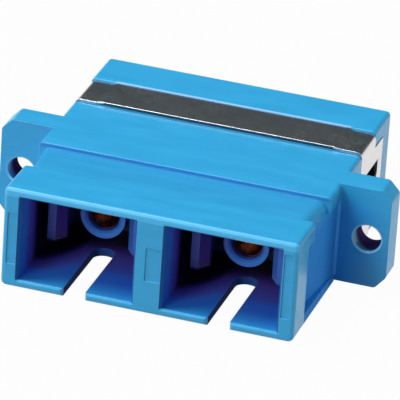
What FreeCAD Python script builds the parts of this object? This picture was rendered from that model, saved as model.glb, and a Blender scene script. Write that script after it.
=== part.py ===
import FreeCAD, Part
import math
import os
import Sketcher

# Duplex SC fibre adapter with a two-hole flange.
# Every body is drawn with x across the two ports, y from the front face back and z from the
# axis of the ports up.  Its Placement then moves it to the part's frame, whose origin lies
# midway between the flange holes, on the face of the flange that meets the panel.

doc = FreeCAD.newDocument("sc_duplex_adapter")
sheet = doc.addObject("Spreadsheet::Sheet", "dims")

DIMENSIONS = [
    ("port_pitch", 12.7, "between the two port axes"),
    ("port_wide", 10.1, "clear width of a port"),
    ("port_tall", 7.62, "clear height of a port"),
    ("mouth_bevel", 0.16, "bevel round the mouth of a port"),
    ("floor_wall", 0.74, "wall under the ports"),
    ("roof_wall", 0.78, "wall over the ports at the front"),
    ("side_wall", 1.46, "wall beside the ports at the front"),
    ("rim_long", 3.1, "front rim, up to the side recess"),
    ("rim_shoulder_long", 4.65, "front rim over the top of the side recess"),
    ("rim_shoulder_level", 2.95, "height where the recess gets shorter"),
    ("recess_deep", 0.83, "depth of the side recess behind the rim"),
    ("recess_foot_front", 3.25, "foot of the recess behind the rim, below the axis"),
    ("recess_foot_back", 3.4, "foot of the recess at the flange, below the axis"),
    ("edge_round", 0.4, "rounding along the long edges of the housings"),
    ("waist_round", 0.8, "rounding of the upper edges above the side recesses"),
    ("foot_round", 0.5, "rounding along the lower edges of the housings"),
    ("face_round", 0.36, "rounding round the front and rear faces"),
    ("band_start", 8.75, "front of the raised band"),
    ("band_step", 0.38, "rise of the band over the front section"),
    ("band_side_step", 0.06, "how far the band and the collar stand out at the sides"),
    ("band_drop", 1.45, "how far the band comes down the sides"),
    ("band_round", 0.1, "rounding of the front edge of the band"),
    ("flange_start", 11.87, "front face of the flange"),
    ("flange_thick", 2.5, "thickness of the flange"),
    ("ear_long", 4.43, "how far an ear stands out from the collar"),
    ("flange_drop", 0.48, "lower edge of the ears above the bottom"),
    ("ear_cut_wide", 0.92, "corner cut of an ear, across"),
    ("ear_cut_tall", 0.95, "upper corner cut of an ear, down"),
    ("ear_foot_tall", 1.1, "lower corner cut of an ear, up"),
    ("ear_round", 0.45, "rounding beside the corner cuts"),
    ("hole_inset", 1.9, "from the end of an ear to the centre of its hole"),
    ("hole_wide", 2.4, "diameter of a flange hole"),
    ("hole_bevel", 0.13, "bevel at the front of a flange hole"),
    ("hole_height", 0.33, "flange holes above the port axis"),
    ("keyway_wide", 1.95, "width of the keyways"),
    ("keyway_long", 8.8, "length of the keyways"),
    ("keyway_end_round", 0.9, "rounding at the inner end of a keyway"),
    ("keyway_round", 0.35, "rounding of the corners at a keyway's mouth"),
    ("panel_deep", 0.1, "depth of the sunk panels in the front face"),
    ("panel_inset", 0.26, "from a port's side to the sunk panel beside it"),
    ("panel_wide", 0.78, "width of the sunk panels beside the ports"),
    ("panel_low", 2.4, "foot of the side panels, below the axis"),
    ("panel_high", 2.3, "top of the left panel"),
    ("tall_panel_high", 3.45, "top of the right panel"),
    ("web_panel_wide", 1.3, "width of the sunk panel between the ports"),
    ("web_panel_tall", 3.0, "height of the sunk panel between the ports"),
    ("total_long", 26.9, "length over both housings"),
    ("rear_long", 8.3, "length of the rear housing behind the seam"),
    ("rear_side_step", 0.05, "how far the rear section lies inside the collar at the sides"),
    ("rear_step", 0.36, "rise of the rear section over the collar"),
    ("strap_lead", 0.7, "from the seam forward to the front edge of the clip's strap"),
    ("clip_wide", 4.2, "width of the clip's strap"),
    ("clip_thick", 0.2, "thickness of the spring steel"),
    ("clip_joggle", 0.1, "rise of the strap's middle"),
    ("joggle_inset", 2.5, "joggle of the strap from the clip's side"),
    ("joggle_long", 0.6, "length of a joggle"),
    ("cheek_long", 6.65, "length of the clip's side plates"),
    ("cheek_top", 3.85, "top of the long part of a side plate"),
    ("window_high", 2.3, "top of the clip's window"),
    ("window_low", 1.75, "bottom of the clip's window, below the axis"),
    ("window_long", 5.45, "length of the clip's window behind the strap's front edge"),
    ("tab_gap", 1.2, "gap between a tab and the window's sides"),
    ("tab_long", 6.85, "length of a tab along the body"),
    ("tab_flare", 1.3, "how far a tab stands out at its free end"),
    ("lip_long", 3.0, "length of the lips under the housing"),
    ("lip_wide", 1.2, "width of the lips under the housing"),
    ("lip_bend", 0.15, "inside radius of the bends above the lips"),
    ("foot_rise", 0.85, "lower edge of the side plates' toe and heel, above the bottom"),
    ("seat_gap", 0.05, "play between the clip and the ends of its seat"),
    ("pocket_deep", 0.85, "depth of the pocket behind a window"),
    ("pocket_inset", 0.3, "from the seam to the pocket behind a window"),
    ("plate_thick", 1.0, "thickness of an insert's plate"),
    ("plate_shoulder", 0.3, "ledge that a plate rests on, each side"),
    ("plate_gap", 0.02, "play round a plate"),
    ("tongue_thick", 0.46, "thickness of the rear housing's tongues"),
    ("tongue_inset", 4.4, "from the rear face to the rear end of the tongues"),
    ("holder_wall", 0.37, "wall of a sleeve holder"),
    ("holder_lip", 0.7, "length of a sleeve holder beyond the end of its sleeve"),
    ("holder_mouth", 2.84, "diameter of a sleeve holder's mouth"),
    ("holder_bevel", 0.2, "bevel at a sleeve holder's mouth"),
    ("sleeve_wide", 3.2, "outer diameter of a split sleeve"),
    ("sleeve_bore", 2.5, "bore of a split sleeve"),
    ("sleeve_long", 11.4, "length of a split sleeve"),
    ("sleeve_slit", 0.45, "width of the slit in a sleeve"),
    ("sleeve_gap", 0.03, "play round a sleeve"),
    ("latch_tall", 4.5, "height of a latch arm"),
    ("latch_outer", 4.15, "outer face of a latch arm from the axis"),
    ("latch_thick", 0.72, "thickness of a latch arm"),
    ("hook_reach", 2.75, "tip of a hook from the axis"),
    ("hook_front", 8.6, "front end of a hook from the middle"),
    ("hook_lead", 1.0, "length of a hook's slanted lead-in"),
    ("hook_tip", 0.45, "length of a hook's flat tip"),
    ("hook_bevel", 0.35, "bevel at the lower and upper end of a hook"),
]

for row, (alias, size, note) in enumerate(DIMENSIONS, start=1):
    sheet.set("A%d" % row, alias)
    sheet.set("B%d" % row, str(size))
    sheet.set("C%d" % row, note)
    sheet.setAlias("B%d" % row, alias)
doc.recompute()

# Levels and places that several pieces share.
FLOOR = "-(dims.port_tall / 2 + dims.floor_wall)"
RIM_TOP = "(dims.port_tall / 2 + dims.roof_wall)"
BAND_TOP = "(dims.port_tall / 2 + dims.roof_wall + dims.band_step)"
REAR_TOP = "(dims.port_tall / 2 + dims.roof_wall + dims.band_step + dims.rear_step)"
FLANGE_BACK = "(dims.flange_start + dims.flange_thick)"
MIDDLE = "(dims.total_long / 2)"
SEAM = "(dims.total_long - dims.rear_long)"
STRAP_FRONT = "(dims.total_long - dims.rear_long - dims.strap_lead)"
STRAP_BACK = "(" + STRAP_FRONT + " + dims.clip_wide)"
CHEEK_BACK = "(" + STRAP_FRONT + " + dims.cheek_long)"
LIP_START = "(" + STRAP_BACK + " - dims.lip_long)"
WINDOW_END = "(" + STRAP_FRONT + " + dims.window_long)"
PORT_X = "(dims.port_pitch / 2)"
RIM_HALF = "(dims.port_pitch / 2 + dims.port_wide / 2 + dims.side_wall)"
BAND_HALF = "(" + RIM_HALF + " + dims.band_side_step)"
REAR_HALF = "(" + BAND_HALF + " - dims.rear_side_step)"
SEAT_HALF = "(" + BAND_HALF + " - dims.clip_thick)"
EAR_HALF = "(" + BAND_HALF + " + dims.ear_long)"
HOLE_X = "(" + EAR_HALF + " - dims.hole_inset)"
HOLDER_BORE = "(dims.sleeve_wide + 2 * dims.sleeve_gap)"
HOLDER_BACK = "(dims.sleeve_long / 2 + dims.sleeve_gap)"
HOLDER_FRONT = "(dims.sleeve_long / 2 + dims.sleeve_gap + dims.holder_lip)"


# Two places nearer to each other than this are the same place.
CLOSE = 1e-4


def value(expression):
    return float(sheet.evalExpression(expression))


def origin_feature(body, role):
    for feature in body.Origin.OriginFeatures:
        if feature.Role == role:
            return feature
    raise RuntimeError(role)


def make_body(name):
    body = doc.addObject("PartDesign::Body", name)
    body.Label = name
    return body


def make_sketch(body, name, role, level):
    sketch = body.newObject("Sketcher::SketchObject", body.Name + "_" + name + "_sketch")
    sketch.AttachmentSupport = [(origin_feature(body, role), "")]
    sketch.MapMode = "FlatFace"
    sketch.setExpression("AttachmentOffset.Base.z", level)
    return sketch


def section(body, name, place):
    """A sketch across the body at y = place: its own x is x and its own y is z."""
    return make_sketch(body, name, "XZ_Plane", "-(" + place + ")")


def plan(body, name, level):
    """A sketch seen from above at z = level."""
    return make_sketch(body, name, "XY_Plane", level)


def side(body, name, place):
    """A sketch seen from the side at x = place: its own x is y and its own y is z."""
    return make_sketch(body, name, "YZ_Plane", place)


def pin_point(sketch, line, end, x, y):
    for kind, expression in (("DistanceX", x), ("DistanceY", y)):
        index = sketch.addConstraint(Sketcher.Constraint(kind, -1, 1, line, end, value(expression)))
        sketch.setExpression("Constraints[%d]" % index, expression)


def heading(start, end):
    """The direction from one corner to the next along an axis, as two signs."""
    across = value(end[0]) - value(start[0])
    up = value(end[1]) - value(start[1])
    if abs(across) > abs(up):
        return (math.copysign(1, across), 0)
    return (0, math.copysign(1, up))


def moved(expression, sign, distance):
    if sign == 0:
        return expression
    return "(" + expression + (" + " if sign > 0 else " - ") + distance + ")"


def outline(sketch, points):
    """A closed outline, counter-clockwise.

    A corner between two lines along the axes is rounded where it has a third item, its radius.
    """
    count = len(points)
    entries = []
    exits = []
    centres = []
    left_turns = []
    for index, corner in enumerate(points):
        x, y = corner[:2]
        if len(corner) == 2:
            entries.append((x, y))
            exits.append((x, y))
            centres.append(None)
            left_turns.append(None)
            continue
        radius = corner[2]
        into = heading(points[index - 1], corner)
        out = heading(corner, points[(index + 1) % count])
        entry = (moved(x, -into[0], radius), moved(y, -into[1], radius))
        entries.append(entry)
        exits.append((moved(x, out[0], radius), moved(y, out[1], radius)))
        centres.append((moved(entry[0], out[0], radius), moved(entry[1], out[1], radius)))
        left_turns.append(into[0] * out[1] > into[1] * out[0])
    lines = []
    for index in range(count):
        start = exits[index]
        end = entries[(index + 1) % count]
        lines.append(sketch.addGeometry(Part.LineSegment(
            FreeCAD.Vector(value(start[0]), value(start[1]), 0),
            FreeCAD.Vector(value(end[0]), value(end[1]), 0)), False))
    for index in range(count):
        before = lines[index - 1]
        after = lines[index]
        pin_point(sketch, after, 1, *exits[index])
        if centres[index] is None:
            sketch.addConstraint(Sketcher.Constraint("Coincident", before, 2, after, 1))
            continue
        pin_point(sketch, before, 2, *entries[index])
        ends = (entries[index], exits[index])
        arc_start, arc_end = ends if left_turns[index] else reversed(ends)
        arc = sketch.addGeometry(corner_arc(arc_start, arc_end, centres[index]), False)
        first, last = (1, 2) if left_turns[index] else (2, 1)
        sketch.addConstraint(Sketcher.Constraint("Coincident", before, 2, arc, first))
        sketch.addConstraint(Sketcher.Constraint("Coincident", after, 1, arc, last))
        middle = centres[index][0]
        pin = sketch.addConstraint(Sketcher.Constraint("DistanceX", -1, 1, arc, 3, value(middle)))
        sketch.setExpression("Constraints[%d]" % pin, middle)


def corner_arc(start, end, centre):
    """A quarter turn to the left from start to end."""
    middle = FreeCAD.Vector(value(centre[0]), value(centre[1]), 0)
    across = value(start[0]) - middle.x
    up = value(start[1]) - middle.y
    radius = math.hypot(across, up)
    first = math.atan2(up, across)
    return Part.ArcOfCircle(Part.Circle(middle, FreeCAD.Vector(0, 0, 1), radius),
                            first, first + math.pi / 2)


def block_outline(sketch, half, low, high):
    """The section of a housing: rounded along its upper edges and along its lower edges."""
    outline(sketch, [
        ("-" + half, low, "dims.foot_round"), (half, low, "dims.foot_round"),
        (half, high, "dims.edge_round"), ("-" + half, high, "dims.edge_round"),
    ])


def rectangle(sketch, left, right, low, high):
    outline(sketch, [(left, low), (right, low), (right, high), (left, high)])


def circle(sketch, x, y, diameter):
    centre = FreeCAD.Vector(value(x), value(y), 0)
    line = sketch.addGeometry(Part.Circle(centre, FreeCAD.Vector(0, 0, 1), value(diameter) / 2), False)
    pin_point(sketch, line, 3, x, y)
    index = sketch.addConstraint(Sketcher.Constraint("Diameter", line, value(diameter)))
    sketch.setExpression("Constraints[%d]" % index, diameter)


def pad(sketch, length, backwards=False, both=False):
    """Adds the sketch's outline along its normal, or against it where backwards is set."""
    body = sketch.getParentGeoFeatureGroup()
    feature = body.newObject("PartDesign::Pad", sketch.Name.replace("_sketch", "_pad"))
    feature.Profile = sketch
    feature.setExpression("Length", length)
    feature.Reversed = backwards
    feature.Midplane = both
    doc.recompute()
    return feature


def pocket(sketch, length, forwards=False, both=False):
    """Cuts the sketch's outline against its normal, or along it where forwards is set."""
    body = sketch.getParentGeoFeatureGroup()
    before = body.Tip.Shape.Volume
    feature = body.newObject("PartDesign::Pocket", sketch.Name.replace("_sketch", "_pocket"))
    feature.Profile = sketch
    feature.setExpression("Length", length)
    feature.Reversed = forwards
    feature.Midplane = both
    doc.recompute()
    if feature.Shape.Volume >= before:
        raise RuntimeError(feature.Name + " cuts nothing")
    return feature


def mirror(body, name, features):
    """Repeats features on the other side of the plane x = 0."""
    feature = body.newObject("PartDesign::Mirrored", body.Name + "_" + name)
    feature.Originals = features
    feature.MirrorPlane = (origin_feature(body, "YZ_Plane"), [""])
    body.Tip = feature
    doc.recompute()
    return feature


def dress(body, name, kind, size_name, size, chooser):
    """Rounds or bevels the edges that chooser picks by their middle and direction."""
    base = body.Tip
    edges = []
    for index, edge in enumerate(base.Shape.Edges, start=1):
        middle = edge.valueAt((edge.FirstParameter + edge.LastParameter) / 2)
        along = edge.tangentAt((edge.FirstParameter + edge.LastParameter) / 2)
        if chooser(middle, along, edge):
            edges.append("Edge%d" % index)
    if not edges:
        raise RuntimeError(name + " finds no edge")
    feature = body.newObject(kind, body.Name + "_" + name)
    feature.Base = (base, edges)
    feature.setExpression(size_name, size)
    body.Tip = feature
    doc.recompute()
    return feature


def fillet(body, name, radius, chooser):
    return dress(body, name, "PartDesign::Fillet", "Radius", radius, chooser)


def bevel(body, name, size, chooser):
    return dress(body, name, "PartDesign::Chamfer", "Size", size, chooser)


def near(first, second):
    return abs(first - second) < CLOSE


def runs_along(along, axis):
    return near(abs(along[axis]), 1)


def settle(body):
    """Moves a body from the front face and the port axis to the part's own frame."""
    body.setExpression("Placement.Base.y", "-" + FLANGE_BACK)
    body.setExpression("Placement.Base.z", "-dims.hole_height")


def port_cavity(body, name, start, end, width):
    """The clear space of the port at +x, between two places along y."""
    sketch = section(body, name, start)
    left = "(" + PORT_X + " - " + width + " / 2)"
    right = "(" + PORT_X + " + " + width + " / 2)"
    rectangle(sketch, left, right, "-dims.port_tall / 2", "dims.port_tall / 2")
    return pocket(sketch, end + " - " + start)


def keyway(body, face, inward):
    """The slot for the plug's key, through the floor of the port at +x.

    It opens in the face at y = face and runs inward along y, which is 1 for +y and -1 for -y.
    """
    def corner(across, inside):
        turn = "(%d)" % inward
        return ("(" + PORT_X + " + " + turn + " * " + across + ")",
                "(" + face + " + " + turn + " * " + inside + ")")

    half = "(dims.keyway_wide / 2)"
    other_half = "(-dims.keyway_wide / 2)"
    wide = "(dims.keyway_wide / 2 + 2 * dims.keyway_round)"
    other_wide = "(-dims.keyway_wide / 2 - 2 * dims.keyway_round)"
    outside = "(-dims.rim_long)"
    level = "(0 * dims.rim_long)"
    sketch = plan(body, "keyway", level)
    outline(sketch, [
        corner(other_wide, outside), corner(wide, outside), corner(wide, level),
        corner(half, level) + ("dims.keyway_round",),
        corner(half, "dims.keyway_long") + ("dims.keyway_end_round",),
        corner(other_half, "dims.keyway_long") + ("dims.keyway_end_round",),
        corner(other_half, level) + ("dims.keyway_round",),
        corner(other_wide, level),
    ])
    slot = pocket(sketch, "dims.port_tall / 2 + 2 * dims.floor_wall")
    mirror(body, "keyways", [slot])


def bevel_mouths(body, place):
    """Bevels the four edges of each port's mouth, where it opens at y = place."""
    inner = value("(dims.port_pitch - dims.port_wide) / 2")
    outer = value("(dims.port_pitch + dims.port_wide) / 2")
    high = value("dims.port_tall / 2")

    def at_mouth(middle, along, edge):
        if not near(middle.y, value(place)):
            return False
        upright = runs_along(along, 2) and (near(abs(middle.x), inner) or near(abs(middle.x), outer))
        level = runs_along(along, 0) and near(abs(middle.z), high)
        return upright or level

    bevel(body, "mouth_bevel", "dims.mouth_bevel", at_mouth)


def make_front_housing():
    body = make_body("front_housing")

    rim = section(body, "rim", "0 * dims.rim_long")
    outline(rim, [
        ("-" + RIM_HALF, FLOOR, "dims.foot_round"), (RIM_HALF, FLOOR, "dims.foot_round"),
        (RIM_HALF, RIM_TOP), ("-" + RIM_HALF, RIM_TOP),
    ])
    pad(rim, "dims.flange_start", backwards=True)

    # The side recess is deepest behind the rim and runs out at the flange, so its floor leans.
    lean = "atan(dims.recess_deep / (dims.flange_start - dims.rim_long))"
    recess = side(body, "recess", RIM_HALF)
    recess.AttachmentOffset = FreeCAD.Placement(
        FreeCAD.Vector(value("dims.flange_start"), 0, value(RIM_HALF)),
        FreeCAD.Rotation(FreeCAD.Vector(0, 1, 0), -value(lean)))
    recess.setExpression("AttachmentOffset.Base.x", "dims.flange_start")
    recess.setExpression("AttachmentOffset.Rotation.Angle", "-" + lean)
    stretch = " / cos(" + lean + ")"
    rim_end = "(dims.rim_long - dims.flange_start)" + stretch
    shoulder_end = "(dims.rim_shoulder_long - dims.flange_start)" + stretch
    above = RIM_TOP + " + dims.roof_wall"
    back = "0 * dims.rim_long"
    outline(recess, [
        (rim_end, "-dims.recess_foot_front"),
        (back, "-dims.recess_foot_back"),
        (back, above),
        (shoulder_end, above),
        (shoulder_end, "dims.rim_shoulder_level"),
        (rim_end, "dims.rim_shoulder_level"),
    ])
    recess_cut = pocket(recess, "2 * dims.recess_deep", forwards=True)
    mirror(body, "recesses", [recess_cut])

    def on_top(middle):
        return near(middle.z, value(RIM_TOP)) and abs(middle.x) > value(PORT_X)

    shoulder = value("dims.rim_shoulder_long")
    fillet(body, "waist_round", "dims.waist_round",
           lambda middle, along, edge: on_top(middle) and middle.y > shoulder + CLOSE
           and middle.y < value("dims.flange_start") - CLOSE)
    fillet(body, "rim_round", "dims.edge_round",
           lambda middle, along, edge: on_top(middle) and runs_along(along, 1)
           and middle.y < shoulder)
    fillet(body, "face_round", "dims.face_round",
           lambda middle, along, edge: near(middle.y, 0))

    band = section(body, "band", "dims.band_start")
    band_foot = BAND_TOP + " - dims.band_drop"
    outline(band, [
        ("-" + BAND_HALF, band_foot), (BAND_HALF, band_foot),
        (BAND_HALF, BAND_TOP, "dims.edge_round"), ("-" + BAND_HALF, BAND_TOP, "dims.edge_round"),
    ])
    pad(band, "dims.flange_start - dims.band_start", backwards=True)
    fillet(body, "band_round", "dims.band_round",
           lambda middle, along, edge: near(middle.y, value("dims.band_start"))
           and near(middle.z, value(BAND_TOP)))

    ears = section(body, "ears", "dims.flange_start")
    inner = "(" + EAR_HALF + " - dims.ear_cut_wide)"
    low = "(" + FLOOR + " + dims.flange_drop)"
    outline(ears, [
        ("-" + inner, low), (inner, low),
        (EAR_HALF, low + " + dims.ear_foot_tall"), (EAR_HALF, BAND_TOP + " - dims.ear_cut_tall"),
        (inner, BAND_TOP), ("-" + inner, BAND_TOP),
        ("-" + EAR_HALF, BAND_TOP + " - dims.ear_cut_tall"),
        ("-" + EAR_HALF, low + " + dims.ear_foot_tall"),
    ])
    pad(ears, "dims.flange_thick", backwards=True)
    fillet(body, "ear_round", "dims.ear_round",
           lambda middle, along, edge: runs_along(along, 1)
           and abs(middle.x) > value(HOLE_X))

    collar = section(body, "collar", FLANGE_BACK)
    block_outline(collar, BAND_HALF, FLOOR, BAND_TOP)
    pad(collar, STRAP_FRONT + " - dims.seat_gap - " + FLANGE_BACK, backwards=True)
    seat = section(body, "seat", STRAP_FRONT + " - dims.seat_gap")
    block_outline(seat, SEAT_HALF, FLOOR, BAND_TOP)
    pad(seat, "dims.strap_lead + dims.seat_gap", backwards=True)

    plate_front = "(" + MIDDLE + " - dims.plate_thick)"
    nest = "(dims.port_wide + 2 * dims.plate_shoulder)"
    front_cavity = port_cavity(body, "port", "0 * dims.rim_long", plate_front, "dims.port_wide")
    nest_cavity = port_cavity(body, "nest", plate_front, SEAM, nest)
    mirror(body, "ports", [front_cavity, nest_cavity])
    bevel_mouths(body, "0 * dims.rim_long")
    keyway(body, "0 * dims.rim_long", 1)

    hole = section(body, "hole", "dims.flange_start")
    circle(hole, HOLE_X, "dims.hole_height", "dims.hole_wide")
    hole_cut = pocket(hole, "dims.flange_thick")
    mirror(body, "holes", [hole_cut])
    bevel(body, "hole_bevel", "dims.hole_bevel",
          lambda middle, along, edge: near(middle.y, value("dims.flange_start"))
          and edge.Closed)

    # Shallow sunk panels in the front face, beside and between the ports.
    panel_inner = "(" + PORT_X + " + dims.port_wide / 2 + dims.panel_inset)"
    panel_outer = "(" + PORT_X + " + dims.port_wide / 2 + dims.panel_inset + dims.panel_wide)"
    web_end = "(" + PORT_X + " - dims.port_wide / 2 - dims.panel_inset)"
    panels = section(body, "panels", "0 * dims.rim_long")
    rectangle(panels, "-" + panel_outer, "-" + panel_inner, "-dims.panel_low", "dims.panel_high")
    rectangle(panels, web_end + " - dims.web_panel_wide", web_end,
              "-dims.web_panel_tall / 2", "dims.web_panel_tall / 2")
    rectangle(panels, panel_inner, panel_outer, "-dims.panel_low", "dims.tall_panel_high")
    pocket(panels, "dims.panel_deep")
    settle(body)
    return body


def make_rear_housing():
    body = make_body("rear_housing")
    seat_end = "(" + STRAP_BACK + " + dims.seat_gap)"

    block = section(body, "block", seat_end)
    block_outline(block, REAR_HALF, FLOOR, REAR_TOP)
    pad(block, "dims.total_long - " + seat_end, backwards=True)
    fillet(body, "face_round", "dims.face_round",
           lambda middle, along, edge: near(middle.y, value("dims.total_long")))
    fillet(body, "step_round", "dims.band_round",
           lambda middle, along, edge: near(middle.y, value(seat_end))
           and near(middle.z, value(REAR_TOP)))

    seat = section(body, "seat", SEAM)
    block_outline(seat, SEAT_HALF, FLOOR, BAND_TOP)
    pad(seat, seat_end + " - " + SEAM, backwards=True)

    cheek = side(body, "cheek", REAR_HALF)
    rectangle(cheek, SEAM, CHEEK_BACK + " + dims.seat_gap",
              FLOOR + " - dims.floor_wall", "dims.cheek_top + dims.seat_gap")
    cheek_cut = pocket(cheek, REAR_HALF + " - " + SEAT_HALF)
    well = side(body, "well", SEAT_HALF)
    rectangle(well, SEAM + " + dims.pocket_inset", WINDOW_END,
              "-dims.window_low", "dims.window_high")
    well_cut = pocket(well, "dims.pocket_deep")
    # The notch for a lip is bevelled at its corner, so that the bend of the lip passes it.
    lip = section(body, "lip", LIP_START + " - dims.seat_gap")
    notch_inner = "(" + SEAT_HALF + " - dims.lip_wide - dims.seat_gap)"
    notch_outer = "(" + SEAT_HALF + " + dims.clip_thick)"
    notch_top = "(" + FLOOR + " + dims.clip_thick)"
    bend_top = "(" + FLOOR + " + dims.clip_thick + dims.lip_bend)"
    outline(lip, [
        (notch_inner, FLOOR + " - dims.clip_thick"), (notch_outer, FLOOR + " - dims.clip_thick"),
        (notch_outer, bend_top), (SEAT_HALF, bend_top),
        (SEAT_HALF + " - dims.lip_bend", notch_top), (notch_inner, notch_top),
    ])
    lip_cut = pocket(lip, "dims.lip_long + 2 * dims.seat_gap")

    cavity = port_cavity(body, "port", SEAM, "dims.total_long", "dims.port_wide")
    mirror(body, "ports", [cheek_cut, well_cut, lip_cut, cavity])
    bevel_mouths(body, "dims.total_long")
    keyway(body, "dims.total_long", -1)

    # Tongues that reach into the front housing and press the inserts on their ledge.
    plate_back = "(" + MIDDLE + " + dims.plate_thick)"
    outer = "(dims.port_wide / 2 + dims.plate_shoulder - dims.plate_gap)"
    inner = "(" + outer + " - dims.tongue_thick)"
    high = "(dims.port_tall / 2 - dims.plate_gap)"
    tongues = section(body, "tongues", plate_back)
    for port in ("-", ""):
        centre = port + PORT_X
        rectangle(tongues, centre + " - " + outer, centre + " - " + inner, "-" + high, high)
        rectangle(tongues, centre + " + " + inner, centre + " + " + outer, "-" + high, high)
    pad(tongues, "dims.total_long - dims.tongue_inset - " + plate_back, backwards=True)
    settle(body)
    return body


def make_insert(label, turned, port):
    """A plate with half of the sleeve holder and two latch arms that point out of the port.

    It is drawn about the port axis with its mating face at y = 0 and its hooks at -y.
    """
    body = make_body(label)
    half_wide = "(dims.port_wide / 2 + dims.plate_shoulder - dims.plate_gap)"
    half_tall = "(dims.port_tall / 2 - dims.plate_gap)"
    zero = "0 * dims.plate_gap"

    plate = section(body, "plate", "-dims.plate_thick")
    rectangle(plate, "-" + half_wide, half_wide, "-" + half_tall, half_tall)
    pad(plate, "dims.plate_thick", backwards=True)

    holder = section(body, "holder", "-" + HOLDER_FRONT)
    circle(holder, zero, zero, HOLDER_BORE + " + 2 * dims.holder_wall")
    pad(holder, HOLDER_FRONT + " - dims.plate_thick / 2", backwards=True)

    arm = plan(body, "arm", zero)
    outer = "dims.latch_outer"
    inner = "(dims.latch_outer - dims.latch_thick)"
    front = "-dims.hook_front"
    tip_start = "(-dims.hook_front + dims.hook_lead)"
    tip_end = "(-dims.hook_front + dims.hook_lead + dims.hook_tip)"
    root = "-dims.plate_thick / 2"
    outline(arm, [
        (outer, root), (outer, front), (inner, front), ("dims.hook_reach", tip_start),
        ("dims.hook_reach", tip_end), (inner, tip_end), (inner, root),
    ])
    arm_pad = pad(arm, "dims.latch_tall", both=True)
    mirror(body, "arms", [arm_pad])
    bevel(body, "hook_bevel", "dims.hook_bevel",
          lambda middle, along, edge: near(abs(middle.z), value("dims.latch_tall / 2"))
          and middle.y < value(tip_start) - CLOSE and abs(middle.x) < value(outer) - CLOSE)

    bore = section(body, "bore", "-" + HOLDER_BACK)
    circle(bore, zero, zero, HOLDER_BORE)
    pocket(bore, HOLDER_BACK)
    mouth = section(body, "mouth", "-" + HOLDER_FRONT)
    circle(mouth, zero, zero, "dims.holder_mouth")
    pocket(mouth, HOLDER_FRONT)
    bevel(body, "holder_bevel", "dims.holder_bevel",
          lambda middle, along, edge: near(middle.y, -value(HOLDER_FRONT))
          and edge.Closed and near(edge.Curve.Radius, value("dims.holder_mouth / 2")))

    if turned:
        body.Placement = FreeCAD.Placement(
            FreeCAD.Vector(0, 0, 0), FreeCAD.Rotation(FreeCAD.Vector(0, 0, 1), 180))
    body.setExpression("Placement.Base.x", port + PORT_X)
    body.setExpression("Placement.Base.y", MIDDLE + " - " + FLANGE_BACK)
    body.setExpression("Placement.Base.z", "-dims.hole_height")
    return body


def make_sleeve(label, port):
    """A slit tube that holds the two ferrules end to end; its slit faces up."""
    body = make_body(label)
    zero = "0 * dims.sleeve_gap"
    tube = section(body, "tube", "-dims.sleeve_long / 2")
    circle(tube, zero, zero, "dims.sleeve_wide")
    pad(tube, "dims.sleeve_long", backwards=True)
    bore = section(body, "bore", "-dims.sleeve_long / 2")
    circle(bore, zero, zero, "dims.sleeve_bore")
    pocket(bore, "dims.sleeve_long")
    slit = section(body, "slit", "-dims.sleeve_long / 2")
    rectangle(slit, "-dims.sleeve_slit / 2", "dims.sleeve_slit / 2", zero, "dims.sleeve_wide")
    pocket(slit, "dims.sleeve_long")
    body.setExpression("Placement.Base.x", port + PORT_X)
    body.setExpression("Placement.Base.y", MIDDLE + " - " + FLANGE_BACK)
    body.setExpression("Placement.Base.z", "-dims.hole_height")
    return body


def strap_outline(half, low, top, lip_bend, bend):
    """The clip's section, with the strap's middle raised by the joggles."""
    inner = "(" + BAND_HALF + " - dims.joggle_inset)"
    outer = "(" + BAND_HALF + " - dims.joggle_inset + dims.joggle_long)"
    raised = "(" + top + " + dims.clip_joggle)"
    return [
        ("-" + half, low, lip_bend), (half, low, lip_bend),
        (half, top, bend), (outer, top), (inner, raised),
        ("-" + inner, raised), ("-" + outer, top), ("-" + half, top, bend),
    ]


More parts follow.
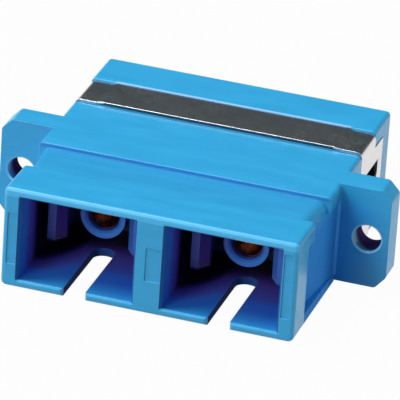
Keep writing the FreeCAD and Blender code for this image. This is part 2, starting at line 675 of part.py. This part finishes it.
def make_panel_clip():
    """One folded strip of spring steel: a strap, two side plates with tabs, two lips."""
    body = make_body("panel_clip")
    top = "(" + BAND_TOP + " + dims.clip_thick)"

    hoop = section(body, "hoop", STRAP_FRONT)
    outline(hoop, strap_outline(BAND_HALF, FLOOR, top, "(dims.lip_bend + dims.clip_thick)",
                                "(dims.edge_round + dims.clip_thick)"))
    pad(hoop, "dims.cheek_long", backwards=True)
    inside = section(body, "inside", STRAP_FRONT)
    outline(inside, strap_outline(SEAT_HALF, "(" + FLOOR + " + dims.clip_thick)", BAND_TOP,
                                  "dims.lip_bend", "dims.edge_round"))
    pocket(inside, "dims.cheek_long")
    gap = section(body, "gap", STRAP_FRONT)
    rectangle(gap, "-" + SEAT_HALF + " + dims.lip_wide", SEAT_HALF + " - dims.lip_wide",
              FLOOR + " - dims.clip_thick", FLOOR + " + 2 * dims.clip_thick")
    pocket(gap, "dims.cheek_long")

    trim = section(body, "trim", STRAP_BACK)
    rectangle(trim, "-" + EAR_HALF, EAR_HALF, "dims.cheek_top", "2 * " + BAND_TOP)
    pocket(trim, "dims.cheek_long - dims.clip_wide")
    foot = FLOOR + " + dims.foot_rise"
    for name, start, end in (("toe", STRAP_FRONT, LIP_START), ("heel", STRAP_BACK, CHEEK_BACK)):
        cut = section(body, name, start)
        rectangle(cut, "-" + EAR_HALF, EAR_HALF, "2 * " + FLOOR, foot)
        pocket(cut, end + " - " + start)

    window = side(body, "window", EAR_HALF)
    rectangle(window, STRAP_FRONT + " - dims.clip_wide", WINDOW_END,
              "-dims.window_low", "dims.window_high")
    pocket(window, "2 * " + EAR_HALF)

    # Each tab springs from the rear edge of its window and flares out towards the flange.
    tab = plan(body, "tab", "(dims.window_high - dims.window_low) / 2")
    free = "(" + WINDOW_END + " - dims.tab_long)"
    outline(tab, [
        (SEAT_HALF, WINDOW_END), (BAND_HALF, WINDOW_END),
        (BAND_HALF + " + dims.tab_flare", free), (SEAT_HALF + " + dims.tab_flare", free),
    ])
    tab_pad = pad(tab, "dims.window_high + dims.window_low - 2 * dims.tab_gap", both=True)
    mirror(body, "tabs", [tab_pad])
    settle(body)
    return body


bodies = [make_front_housing(), make_rear_housing()]
for port_name, port_sign in (("left", "-"), ("right", "")):
    bodies.append(make_insert(port_name + "_front_latch_insert", False, port_sign))
    bodies.append(make_insert(port_name + "_rear_latch_insert", True, port_sign))
    bodies.append(make_sleeve(port_name + "_split_sleeve", port_sign))
bodies.append(make_panel_clip())

doc.recompute()
for item in doc.Objects:
    if "Invalid" in item.State or "Error" in item.State:
        raise RuntimeError(item.Name + " did not compute")
os.makedirs("parts", exist_ok=True)
for body in bodies:
    if body.Shape.isNull() or not body.Shape.isValid():
        raise RuntimeError(body.Label + " has no valid shape")
    if len(body.Shape.Solids) != 1:
        raise RuntimeError(body.Label + " is not one solid")
for body in bodies:
    body.Shape.exportStep("parts/" + body.Label + ".step")
    print(body.Label, round(body.Shape.Volume, 3))
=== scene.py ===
import math
from typing import NamedTuple

import bpy
from mathutils import Matrix, Vector


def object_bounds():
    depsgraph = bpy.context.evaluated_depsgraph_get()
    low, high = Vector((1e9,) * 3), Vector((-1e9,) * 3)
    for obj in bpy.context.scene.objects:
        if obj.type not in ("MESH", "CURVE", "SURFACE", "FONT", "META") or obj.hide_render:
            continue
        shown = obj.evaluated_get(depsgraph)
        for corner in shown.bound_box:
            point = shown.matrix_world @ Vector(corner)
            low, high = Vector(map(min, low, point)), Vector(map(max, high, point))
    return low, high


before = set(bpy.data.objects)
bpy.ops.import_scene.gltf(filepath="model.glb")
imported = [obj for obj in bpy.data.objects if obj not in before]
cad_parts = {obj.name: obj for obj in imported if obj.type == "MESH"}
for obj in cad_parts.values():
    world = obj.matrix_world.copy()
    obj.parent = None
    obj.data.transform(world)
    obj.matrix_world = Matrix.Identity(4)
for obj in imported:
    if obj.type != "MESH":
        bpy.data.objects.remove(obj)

# The CAD model's box, kept from straight after loading.
cad_low, cad_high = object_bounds()
scene = bpy.context.scene
scene.view_settings.view_transform = "Standard"
MM = 0.001


# ---------------------------------------------------------------- the adapter's measures, in mm

# From the frame's box.  The origin lies on the flange's rear face, FRONT behind the front face.
FRONT = -cad_low.y / MM
LENGTH = (cad_high.y - cad_low.y) / MM
EAR_END = cad_high.x / MM
MIDDLE = LENGTH / 2 - FRONT

# The ports and their keyways.  Their axes lie PORT_X beside the origin and AXIS below it.
PORT_X = 6.35
AXIS = 0.33
PORT_HALF = 5.05
PORT_TALL_HALF = 3.81
NEST_HALF = 5.35
MOUTH_BEVEL = 0.16
FLOOR_WALL = 0.74
PORT_ROOF = PORT_TALL_HALF - AXIS
KEYWAY_MOUTH_HALF = 1.3
KEYWAY_TURN = 7.75
KEYWAY_LONG = 8.8

# Depths and heights on the outside.
RIM_END = 3.1 - FRONT
BAND_START = 8.75 - FRONT
FLANGE_FRONT = -2.5
WAIST_TOP = 4.26
COLLAR_TOP = 4.64
SIDE = 12.92
IN_SIDE_WALL = PORT_X + PORT_HALF + 0.2

# The ears.  The cut of an ear's lower corner starts at EAR_CUT_TOP on the ear's end.
HOLE_X = EAR_END - 1.9
HOLE_RADIUS = 1.2
HOLE_BEVEL = 0.13
EAR_CUT_TOP = -3.3
EAR_CUT_WIDE = 0.92
EAR_CUT_TALL = 1.1

# The clip's strap lies between two steps of the housings, and its middle is raised.
STRAP_START = 3.48
STRAP_END = 7.78
STRAP_TOP = 4.94
STRAP_RAISED_HALF = 10.3

# The latch arms of the inserts, from the port's axis, and half the length of a sleeve.
ARM_OUTER = 4.15
ARM_INNER = 3.43
HOOK_TIP = 2.75
SLEEVE_HALF = 5.7


# ---------------------------------------------------------------- colours by place, most of them painted shade and light

class Layer(NamedTuple):
    """A colour laid over a zone of a piece's surface.

    where holds the zone's limits by measure, as Surface works the measures out; None leaves an end
    open.  fade holds the measures that weaken the colour, each with its reach and the share of the
    colour at both ends of that reach.  rough is the least roughness of the zone.
    """

    colour: tuple
    where: dict = {}
    fade: dict = {}
    strength: float = 1.0
    rough: float = 0.0


BLACK = (0.004, 0.004, 0.004)
DEEP_BLUE = (0.012, 0.03, 0.12)

# Painted shade: deep in a port the plastic is painted from blue to violet and then to black, as the light
# fades.  Each stop is a depth behind the mouth and the colour there.
PORT_SHADE = [
    (0.0, 0.025, 0.37, 0.74),
    (0.4, 0.024, 0.28, 0.66),
    (1.2, 0.025, 0.23, 0.66),
    (3.0, 0.045, 0.24, 0.86),
    (4.2, 0.06, 0.23, 0.84),
    (5.2, 0.10, 0.155, 0.66),
    (8.0, 0.13, 0.08, 0.50),
    (9.2, 0.05, 0.03, 0.20),
    (10.5, 0.008, 0.006, 0.03),
]
INSERT_SHADE = [
    (4.0, 0.045, 0.13, 0.48),
    (6.2, 0.035, 0.14, 0.50),
    (6.9, 0.035, 0.22, 0.68),
    (8.0, 0.025, 0.10, 0.36),
    (9.5, 0.010, 0.02, 0.08),
    (12.4, 0.003, 0.004, 0.01),
]
IN_PORT = {
    "across": (None, NEST_HALF + 0.05),
    "off_axis": (None, PORT_TALL_HALF + 0.02),
    "depth": (0.01, None),
}
# Beside a port's left wall the painted shade begins nearer to the mouth, where the wall shadows the light
# from the left, so the depth counts more there.
LEFT_WALL = ((-PORT_HALF, 3.2 - PORT_HALF), (2.1, 1.0))
# How far back the light in a flange hole reaches, from the left of the hole's axis to the right.
HOLE_LIGHT = ((-1.1, 0.3), (1.3, 0.35))

KEYWAY = {
    "across": (None, KEYWAY_MOUTH_HALF),
    "up": (0.01 - PORT_TALL_HALF - FLOOR_WALL, -0.01 - PORT_TALL_HALF),
}
ABOVE_WAIST = (WAIST_TOP + 0.04, None)

# The layers are laid on in this order.
HOUSING_LAYERS = [
    # Painted shade in the hollow between the right side of the front section and its ear, on the right
    # side only, which the light from the left leaves in shade.
    Layer((0.008, 0.235, 0.69), rough=0.75,
          where={"x": (IN_SIDE_WALL, None), "y": (RIM_END + 0.05, FLANGE_FRONT + 0.08)},
          fade={"out": ((SIDE - 0.02, EAR_END - 0.35), (1.0, 0.15)), "up": ((2.4, 4.3), (1.0, 0.0))}),
    # A painted highlight on the bevels at the fronts of the flange holes.
    Layer((0.22, 0.62, 0.95),
          where={"from_hole": (HOLE_RADIUS, HOLE_RADIUS + HOLE_BEVEL + 0.03),
                 "y": (FLANGE_FRONT - 0.1, FLANGE_FRONT + HOLE_BEVEL + 0.01)}),
    # A painted highlight: the thin bright line where a side of the front section meets its ear.
    Layer((0.07, 0.42, 0.95),
          where={"out": (SIDE - 0.22, SIDE + 0.07), "y": (FLANGE_FRONT - 0.4, FLANGE_FRONT + 0.05),
                 "z": (-3.9, 3.2)}),
    # Painted shade on the bevels at the sides of the ports' mouths.
    Layer((0.015, 0.09, 0.33), rough=1.0,
          where={"across": (PORT_HALF + 0.005, PORT_HALF + MOUTH_BEVEL - 0.005),
                 "depth": (0.005, MOUTH_BEVEL), "off_axis": (None, PORT_TALL_HALF)}),
    # Painted shade on the low part of the top, in front of the raised band.
    Layer((0.02, 0.10, 0.35), strength=0.14,
          where={"y": (None, BAND_START + 0.02), "z": (WAIST_TOP - 0.36, WAIST_TOP + 0.04)},
          fade={"y": ((-10.6, -8.6), (0.0, 1.0))}),
    # The shadow line in front of the strap.
    Layer(DEEP_BLUE, strength=0.5, rough=1.0,
          where={"y": (STRAP_START - 0.24, STRAP_START + 0.02), "z": ABOVE_WAIST}),
    # A painted highlight on the edge of the rear section, along the raised middle of the strap.
    Layer((0.22, 0.55, 0.85),
          where={"y": (STRAP_END - 0.02, STRAP_END + 0.22), "z": ABOVE_WAIST,
                 "out": (None, STRAP_RAISED_HALF + 0.3)}),
    # Painted light on the lip over the ports.
    Layer((0.08, 0.52, 0.92), strength=0.7,
          where={"y": (-FRONT - 0.1, -FRONT + 0.2), "z": (PORT_ROOF + 0.02, None)}),
    # Painted shade on the lower corner cuts of the ears, which face the floor.
    Layer((0.025, 0.18, 0.38), rough=1.0,
          where={"past_ear_cut": (-0.05, None), "z": (None, EAR_CUT_TOP + 0.1),
                 "y": (FLANGE_FRONT - 0.02, 0.02)}),
    # Painted shade in the rounded inner ends of the keyways.
    Layer((0.018, 0.085, 0.33), rough=1.0,
          where={**KEYWAY, "depth": (KEYWAY_TURN, KEYWAY_LONG + 0.1)}),
    # Painted shade on the low face where the top rises to the raised band.
    Layer((0.012, 0.18, 0.55), strength=0.6,
          where={"y": (BAND_START - 0.1, BAND_START + 0.06), "z": (WAIST_TOP - 0.04, COLLAR_TOP - 0.04)}),
    # Painted shade on the walls of the flange holes, behind the light that reaches into them.
    Layer((0.026, 0.010, 0.12), rough=1.0,
          where={"from_hole": (HOLE_RADIUS - 0.2, HOLE_RADIUS + 0.02), "y": (FLANGE_FRONT + 0.08, -0.01)},
          fade={"behind_light": ((0.1, 1.0), (0.0, 1.0))}),
    # Painted shade on the long walls of the keyways.
    Layer(DEEP_BLUE, rough=1.0, where={**KEYWAY, "depth": (0.3, KEYWAY_TURN)}),
    # Painted shade: the pockets behind the clip's windows, painted black.
    Layer(BLACK, rough=1.0,
          where={"out": (IN_SIDE_WALL, SIDE - 0.23), "y": (4.4, 9.2), "z": (-2.2, 2.1)}),
]

INSERT_LAYERS = [
    # Painted shade: the left half, violet towards its wall, where the light from the left does not reach.
    Layer((0.05, 0.04, 0.28), fade={"aside": ((-2.0, -0.4), (0.7, 0.0))}),
    # Painted shade on the left latch arm, its hook and the foot of both, which lie in the shadow of the
    # port's left wall.
    Layer((0.038, 0.065, 0.32), strength=0.8, where={"aside": (-ARM_OUTER - 0.15, -ARM_INNER + 0.01)}),
    Layer((0.050, 0.016, 0.18), strength=0.9, where={"aside": (-ARM_INNER + 0.01, -HOOK_TIP + 0.35)}),
    Layer(BLACK, where={"aside": (-ARM_OUTER - 0.15, -HOOK_TIP + 0.35)},
          fade={"z": ((-2.6, -1.2), (0.65, 0.0))}),
]

# The steel of the strap: the part with mottled tone on top, and the two colours of the mottling.
STRAP_MOTTLED = {"z": (STRAP_TOP - 0.14, None), "y": (STRAP_START + 0.2, None)}
WARM_MOTTLE = (0.56, 0.50, 0.49, 1.0)
COOL_MOTTLE = (0.66, 0.74, 0.75, 1.0)
# Painted shade on the front edge of the strap's raised middle, under its bright line.
STRAP_EDGE = Layer((0.1, 0.1, 0.1),
                   where={"y": (STRAP_START - 0.1, STRAP_START + 0.08), "z": (3.5, STRAP_TOP - 0.045),
                          "out": (None, STRAP_RAISED_HALF)})
# A painted reflection: the blue plastic behind the rear of the strap's raised middle, painted into the
# steel there.
STRAP_REFLECTION = Layer((0.05, 0.20, 0.52), strength=0.75,
                    where={"y": (STRAP_END - 0.22, STRAP_END + 0.1), "z": (COLLAR_TOP - 0.04, 5.2),
                           "out": (None, STRAP_RAISED_HALF)})
# How much less metallic the strap is there.
STRAP_REFLECTION_PLAIN = 0.6
# Painted shade: the sleeves are painted darker towards their ends, in the shadow of the holders.
SLEEVE_ENDS = Layer((0.02, 0.012, 0.08),
                    fade={"from_middle": ((SLEEVE_HALF - 1.0, SLEEVE_HALF - 0.2), (0.0, 0.93))})


# ---------------------------------------------------------------- node helpers

class Shader:
    """A material's node tree with one Principled shader, and short names for its nodes."""

    def __init__(self, name):
        self.material = bpy.data.materials.new(name)
        self.material.use_nodes = True
        self.tree = self.material.node_tree
        self.main = self.tree.nodes["Principled BSDF"]

    def node(self, kind, inputs=(), **settings):
        made = self.tree.nodes.new(kind)
        for name, value in settings.items():
            setattr(made, name, value)
        for key, value in dict(inputs).items():
            self.put(made, key, value)
        return made

    def put(self, node, key, value):
        """Links a socket to another node's output, or sets it to a plain value."""
        socket = node.inputs[key]
        if isinstance(value, bpy.types.NodeSocket):
            self.tree.links.new(value, socket)
        else:
            socket.default_value = value

    def math(self, operation, *values):
        return self.node("ShaderNodeMath", enumerate(values), operation=operation).outputs[0]

    def product(self, *values):
        result = values[0]
        for value in values[1:]:
            result = self.math("MULTIPLY", result, value)
        return result

    def vector(self, operation, inputs):
        return self.node("ShaderNodeVectorMath", inputs, operation=operation).outputs[0]

    def noise(self, point, scale, detail, roughness=0.5):
        made = self.node("ShaderNodeTexNoise",
                         {"Vector": point, "Scale": scale, "Detail": detail, "Roughness": roughness})
        return made.outputs["Fac"]

    def spread(self, value, reach, to=(0.0, 1.0)):
        """Brings a value's reach, from low to high, to two other values and holds it between them."""
        made = self.node("ShaderNodeMapRange",
                         {"Value": value, "From Min": reach[0], "From Max": reach[1],
                          "To Min": to[0], "To Max": to[1]})
        return made.outputs["Result"]

    def blend(self, factor, first, second):
        made = self.node("ShaderNodeMix", data_type="RGBA", blend_type="MIX")
        self.put(made, 0, factor)
        self.put(made, 6, first)
        self.put(made, 7, second)
        return made.outputs[2]

    def ramp(self, value, stops):
        """Colours between stops, each given as (value, red, green, blue)."""
        first, last = stops[0][0], stops[-1][0]
        made = self.node("ShaderNodeValToRGB", {"Fac": self.spread(value, (first, last))})
        elements = made.color_ramp.elements
        while len(elements) < len(stops):
            elements.new(0.5)
        for element, (level, *colour) in zip(elements, stops):
            element.position = (level - first) / (last - first)
            element.color = (*colour, 1.0)
        return made.outputs["Color"]

    def bump(self, height, strength, distance, normal=None):
        """The normal of a bumpy surface, laid over another normal if one is given."""
        inputs = {"Height": height, "Strength": strength, "Distance": distance}
        if normal is not None:
            inputs["Normal"] = normal
        return self.node("ShaderNodeBump", inputs).outputs[0]

    def soft_edges(self, radius):
        """The normal rounded at sharp edges, kept from nothing where the rounding finds no surface."""
        rounded = self.node("ShaderNodeBevel", {"Radius": radius}, samples=8).outputs[0]
        plain = self.node("ShaderNodeNewGeometry").outputs["Normal"]
        little = self.vector("SCALE", {0: plain, "Scale": 0.02})
        return self.vector("NORMALIZE", {0: self.vector("ADD", {0: rounded, 1: little})})

    def finish(self, **sockets):
        """Fills the shader's sockets, named with underlines for spaces, and gives the material."""
        for name, value in sockets.items():
            self.put(self.main, name.replace("_", " "), value)
        return self.material


class Surface(Shader):
    """A shader for the adapter's pieces, which knows where on the adapter the shaded point lies.

    measures holds these, in millimetres:
    x, y, z       the place in the row's frame
    out           from the middle plane to either side
    up, off_axis  above the ports' axes, and above or below them
    aside         to the right of the axis of the point's own port, less than nought to the left
    across        from that axis to either side
    from_middle   from the middle of the length
    depth         behind the nearer mouth of a port
    from_hole     from the axis of the point's own flange hole
    past_ear_cut  outward past the face of an ear's lower corner cut
    behind_light  behind the front of a flange hole, as a share of how far the light reaches
    """

    def __init__(self, name):
        super().__init__(name)
        place = self.node("ShaderNodeTexCoord").outputs["Object"]
        self.point = self.vector("SCALE", {0: place, "Scale": 1 / MM})
        x, y, z = self.node("ShaderNodeSeparateXYZ", {0: self.point}).outputs
        out = self.math("ABSOLUTE", x)
        side = self.math("SIGN", x)
        up = self.math("ADD", z, AXIS)
        past_port = self.math("SUBTRACT", out, PORT_X)
        past_hole = self.math("SUBTRACT", out, HOLE_X)
        from_middle = self.math("ABSOLUTE", self.math("SUBTRACT", y, MIDDLE))
        self.measures = {
            "x": x, "y": y, "z": z, "out": out, "up": up,
            "off_axis": self.math("ABSOLUTE", up),
            "aside": self.product(past_port, side),
            "across": self.math("ABSOLUTE", past_port),
            "from_middle": from_middle,
            "depth": self.math("SUBTRACT", LENGTH / 2, from_middle),
            "from_hole": self.distance(past_hole, z),
            "past_ear_cut": self.past_ear_cut(out, z),
            "behind_light": self.behind_light(self.product(past_hole, side), y),
        }

    def distance(self, across, upward):
        squares = self.product(across, across), self.product(upward, upward)
        return self.math("SQRT", self.math("ADD", *squares))

    def past_ear_cut(self, out, z):
        facing = Vector((EAR_CUT_TALL, -EAR_CUT_WIDE)).normalized()
        outward = self.product(self.math("SUBTRACT", out, EAR_END), facing.x)
        upward = self.product(self.math("SUBTRACT", z, EAR_CUT_TOP), facing.y)
        return self.math("ADD", outward, upward)

    def behind_light(self, aside, y):
        behind = self.math("SUBTRACT", y, FLANGE_FRONT + 0.08)
        return self.math("DIVIDE", behind, self.spread(aside, *HOLE_LIGHT))

    def stretched(self, *across):
        return self.vector("MULTIPLY", {0: self.point, 1: across})

    def within(self, where):
        """Masks that are one where a measure lies between its limits, else nought."""
        masks = []
        for name, (low, high) in where.items():
            if low is not None:
                masks.append(self.math("GREATER_THAN", self.measures[name], low))
            if high is not None:
                masks.append(self.math("LESS_THAN", self.measures[name], high))
        return masks

    def mask(self, layer):
        """The share of a layer's colour at the shaded point, before its strength."""
        fades = [self.spread(self.measures[name], *fade) for name, fade in layer.fade.items()]
        return self.product(*self.within(layer.where), *fades)

    def paint(self, tone, layer, mask):
        """The tone with a layer's colour laid over it, as far as its mask and strength go."""
        factor = mask if layer.strength == 1.0 else self.product(mask, layer.strength)
        return self.blend(factor, tone, (*layer.colour, 1.0))


def grey(value):
    return (value, value, value, 1.0)


def tinted(colour, factor, lift=0.0):
    """A colour made lighter or darker."""
    return (*(min(1.0, part * factor + lift) for part in colour), 1.0)


# ---------------------------------------------------------------- materials

# Most values of a noise lie in this part of its range.
MOST = (0.35, 0.65)


def moulded_plastic(s, colour, gloss):
    """The tone and roughness of plastic, with faint clouds drawn out from side to side."""
    clouds = s.noise(s.stretched(0.25, 1.0, 1.0), scale=0.9, detail=3.0)
    tone = s.blend(s.spread(clouds, MOST), tinted(colour, 0.96), tinted(colour, 1.03, lift=0.002))
    return tone, s.spread(clouds, MOST, (gloss - 0.04, gloss + 0.04))


def finish_plastic(s, tone, rough, edge):
    """Softens the edges and adds the slow waves that shrinkage leaves."""
    waves = s.bump(s.noise(s.point, scale=0.25, detail=1.0), strength=0.10, distance=0.3 * MM,
                   normal=s.soft_edges(edge))
    return s.finish(Base_Color=tone, Roughness=rough, Normal=waves, IOR=1.45)


def housing_plastic(name, colour, gloss, edge):
    """Satin plastic, with painted shade in its ports, holes and hollows and painted highlights and shade
    on its edges.
    """
    s = Surface(name)
    tone, rough = moulded_plastic(s, colour, gloss)
    # Painted shade deep in the ports, beginning nearer the mouth beside a port's left wall.
    darkness = s.product(s.measures["depth"], s.spread(s.measures["aside"], *LEFT_WALL))
    tone = s.blend(s.product(*s.within(IN_PORT)), tone, s.ramp(darkness, PORT_SHADE))
    for layer in HOUSING_LAYERS:
        mask = s.mask(layer)
        tone = s.paint(tone, layer, mask)
        if layer.rough:
            rough = s.math("MAXIMUM", rough, s.product(mask, layer.rough))
    return finish_plastic(s, tone, rough, edge)


def insert_plastic(name, colour, gloss, edge):
    """Blue plastic painted in shade, darker than the housings' blue, and painted darker still towards the
    middle of the adapter.
    """
    s = Surface(name)
    tone, rough = moulded_plastic(s, colour, gloss)
    shade = s.ramp(s.measures["depth"], INSERT_SHADE)
    tone = s.blend(s.product(*s.within(IN_PORT)), tone, shade)
    for layer in INSERT_LAYERS:
        tone = s.paint(tone, layer, s.mask(layer))
    return finish_plastic(s, tone, rough, edge)


def rolled_steel(name, colour, gloss, edge):
    """Bright spring strip: fine rolling marks, warm and cool mottling on top of the strap, painted shade
    on the front edge of its raised middle and a painted reflection of the plastic at its rear.
    """
    s = Surface(name)
    marks = s.noise(s.stretched(0.35, 6.0, 6.0), scale=1.4, detail=3.0, roughness=0.6)
    warm = s.noise(s.stretched(0.6, 1.0, 1.0), scale=2.4, detail=3.0, roughness=0.7)
    cool = s.noise(s.stretched(0.7, 1.0, 1.0), scale=3.1, detail=3.0, roughness=0.6)
    smears = s.noise(s.point, scale=0.5, detail=2.0)
    tone = s.blend(s.spread(marks, MOST), tinted(colour, 0.93), tinted(colour, 1.05))
    on_top = s.product(*s.within(STRAP_MOTTLED))
    tone = s.blend(s.product(s.spread(warm, (0.46, 0.58), (0.0, 0.8)), on_top), tone, WARM_MOTTLE)
    tone = s.blend(s.product(s.spread(cool, (0.48, 0.60), (0.0, 0.8)), on_top), tone, COOL_MOTTLE)
    tone = s.paint(tone, STRAP_EDGE, s.mask(STRAP_EDGE))
    # A painted reflection of the plastic behind the strap's rear, less metallic there.
    painted_reflection = s.mask(STRAP_REFLECTION)
    tone = s.paint(tone, STRAP_REFLECTION, painted_reflection)
    metal = s.math("SUBTRACT", 1.0, s.product(painted_reflection, STRAP_REFLECTION_PLAIN))
    rough = s.spread(smears, (0.3, 0.7), (gloss - 0.02, gloss + 0.04))
    normal = s.bump(marks, strength=0.03, distance=0.02 * MM, normal=s.soft_edges(edge))
    return s.finish(Base_Color=tone, Metallic=metal, Roughness=rough, Normal=normal)


def drawn_bronze(name, bright, dark_patch, gloss):
    """Phosphor bronze tube: marks along its length, light and dark patches, and painted shade at its
    ends.
    """
    s = Surface(name)
    marks = s.noise(s.stretched(8.0, 0.4, 8.0), scale=1.5, detail=2.0)
    patches = s.noise(s.point, scale=0.9, detail=3.0)
    tone = s.blend(s.spread(patches, (0.42, 0.58)), (*bright, 1.0), (*dark_patch, 1.0))
    tone = s.paint(tone, SLEEVE_ENDS, s.mask(SLEEVE_ENDS))
    rough = s.spread(marks, (0.3, 0.7), (gloss, gloss + 0.12))
    normal = s.bump(marks, strength=0.15, distance=0.02 * MM)
    return s.finish(Base_Color=tone, Metallic=1.0, Roughness=rough, Normal=normal)


# Each piece takes the finish whose key its name ends with.
FINISHES = {
    "housing": housing_plastic("housing_blue", (0.028, 0.372, 0.705), gloss=0.32, edge=0.10 * MM),
    # The inserts' blue is the housings' blue painted in shade.
    "insert": insert_plastic("insert_blue", (0.025, 0.14, 0.48), gloss=0.4, edge=0.06 * MM),
    "clip": rolled_steel("clip_steel", (0.70, 0.70, 0.69), gloss=0.24, edge=0.06 * MM),
    "split_sleeve": drawn_bronze("sleeve_bronze", (0.72, 0.264, 0.132), (0.075, 0.022, 0.011),
                                 gloss=0.22),
}
for node_name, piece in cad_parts.items():
    for ending, finish in FINISHES.items():
        if node_name.endswith(ending):
            piece.data.materials.clear()
            piece.data.materials.append(finish)


# ---------------------------------------------------------------- stage, light and camera

# How bright the white world is as a light, and how much of the floor's look is plain white; the
# rest of the floor carries the object's shadow.
AMBIENT = 0.25
FLOOR_SHOW = 0.97

# The floor and the card, in metres from the origin.
FLOOR_HALF = 3.0
FLOOR_GAP = 0.02 * MM
FLOOR_GREY = 0.40
CARD_HALF = 1.5
CARD_BEHIND = 0.6
CARD_FOOT = 0.05
CARD_TOP = 1.2
CARD_COLOUR = (0.047, 0.064, 0.073, 1.0)
STAGE_ROUGH = 0.9

# Each lamp's place and size in metres, and its power in watts.  All point at the origin.
LAMPS = {
    "key": ((-0.40, -0.12, 0.75), 0.35, 6.3),
    "front": ((-0.27, -0.6, 0.27), 0.3, 1.6),
    "side": ((0.6, 0.25, 0.2), 0.3, 1.15),
}

# The camera stands to the right and above, CAMERA_AWAY millimetres off, and is rolled a little.
# It is turned to look at its aim, a point between the ports, and then shifted, which puts the
# object off the middle of the picture.  Angles are in degrees.
CAMERA_TURN = 16.274
CAMERA_RISE = 25.857
CAMERA_ROLL = 3.883
CAMERA_AIM = Vector((0.0, 10.0 - FRONT, -AXIS))
CAMERA_SHIFT_RIGHT = 1.233
CAMERA_SHIFT_UP = 1.42
CAMERA_AWAY = 456.0
LENS = 485.73
SENSOR = 36.0
CLIP_START = 0.01


def seen_directly(tree):
    """One for rays from the camera and for mirror and glass rays, and nought for the light's own."""
    path = tree.nodes.new("ShaderNodeLightPath")
    total = path.outputs["Is Camera Ray"]
    for name in ("Is Glossy Ray", "Is Transmission Ray"):
        add = tree.nodes.new("ShaderNodeMath")
        add.operation = "MAXIMUM"
        tree.links.new(total, add.inputs[0])
        tree.links.new(path.outputs[name], add.inputs[1])
        total = add.outputs[0]
    return total


def make_world():
    """White where it is seen directly, and AMBIENT strong as a light."""
    world = bpy.data.worlds.new("studio")
    scene.world = world
    world.use_nodes = True
    tree = world.node_tree
    back = tree.nodes["Background"]
    back.inputs["Color"].default_value = grey(1.0)
    strength = tree.nodes.new("ShaderNodeMapRange")
    strength.inputs["To Min"].default_value = AMBIENT
    strength.inputs["To Max"].default_value = 1.0
    tree.links.new(seen_directly(tree), strength.inputs["Value"])
    tree.links.new(strength.outputs["Result"], back.inputs["Strength"])


def plate(name, corners, material):
    mesh = bpy.data.meshes.new(name)
    mesh.from_pydata(corners, [], [tuple(range(len(corners)))])
    piece = bpy.data.objects.new(name, mesh)
    scene.collection.objects.link(piece)
    mesh.materials.append(material)
    return piece


def make_floor():
    """A white sheet under the object that takes its shadow."""
    s = Shader("floor_white")
    s.finish(Base_Color=grey(FLOOR_GREY), Roughness=STAGE_ROUGH)
    glow = s.node("ShaderNodeEmission", {"Color": grey(1.0), "Strength": 1.0})
    share = s.product(seen_directly(s.tree), FLOOR_SHOW)
    mix = s.node("ShaderNodeMixShader", {0: share, 1: s.main.outputs[0], 2: glow.outputs[0]})
    s.tree.links.new(mix.outputs[0], s.tree.nodes["Material Output"].inputs["Surface"])
    level = cad_low.z - FLOOR_GAP
    corners = ((-1, -1), (1, -1), (1, 1), (-1, 1))
    plate("floor", [(x * FLOOR_HALF, y * FLOOR_HALF, level) for x, y in corners], s.material)


def make_dark_card():
    """A dark card behind the object, out of the camera's sight, for its upper faces to mirror."""
    material = Shader("card_dark").finish(Base_Color=CARD_COLOUR, Roughness=STAGE_ROUGH)
    corners = ((-1, CARD_FOOT), (1, CARD_FOOT), (1, CARD_TOP), (-1, CARD_TOP))
    card = plate("card", [(x * CARD_HALF, CARD_BEHIND, z) for x, z in corners], material)
    card.visible_camera = False
    card.visible_diffuse = False
    card.visible_shadow = False


def soft_lamp(name, place, size, power):
    data = bpy.data.lights.new(name, "AREA")
    data.shape = "DISK"
    data.size = size
    data.energy = power
    lamp = bpy.data.objects.new(name, data)
    scene.collection.objects.link(lamp)
    lamp.location = place
    lamp.rotation_euler = (-Vector(place)).to_track_quat("-Z", "Y").to_euler()


def make_camera():
    """A long lens in front of the object."""
    turn, rise, roll = (math.radians(angle) for angle in (CAMERA_TURN, CAMERA_RISE, CAMERA_ROLL))
    back = Vector((math.sin(turn) * math.cos(rise), -math.cos(turn) * math.cos(rise), math.sin(rise)))
    level = Vector((math.cos(turn), math.sin(turn), 0.0))
    upright = back.cross(level)
    right = math.cos(roll) * level + math.sin(roll) * upright
    up = math.cos(roll) * upright - math.sin(roll) * level
    shift = CAMERA_SHIFT_RIGHT * right + CAMERA_SHIFT_UP * up + CAMERA_AWAY * back
    data = bpy.data.cameras.new("camera")
    data.sensor_width = SENSOR
    data.lens = LENS
    data.clip_start = CLIP_START
    camera = bpy.data.objects.new("camera", data)
    scene.collection.objects.link(camera)
    turned = Matrix((right, up, back)).transposed().to_4x4()
    camera.matrix_world = Matrix.Translation(MM * (CAMERA_AIM + shift)) @ turned
    scene.camera = camera


make_world()
make_floor()
make_dark_card()
for lamp_name, (place, size, power) in LAMPS.items():
    soft_lamp(lamp_name, place, size, power)
make_camera()
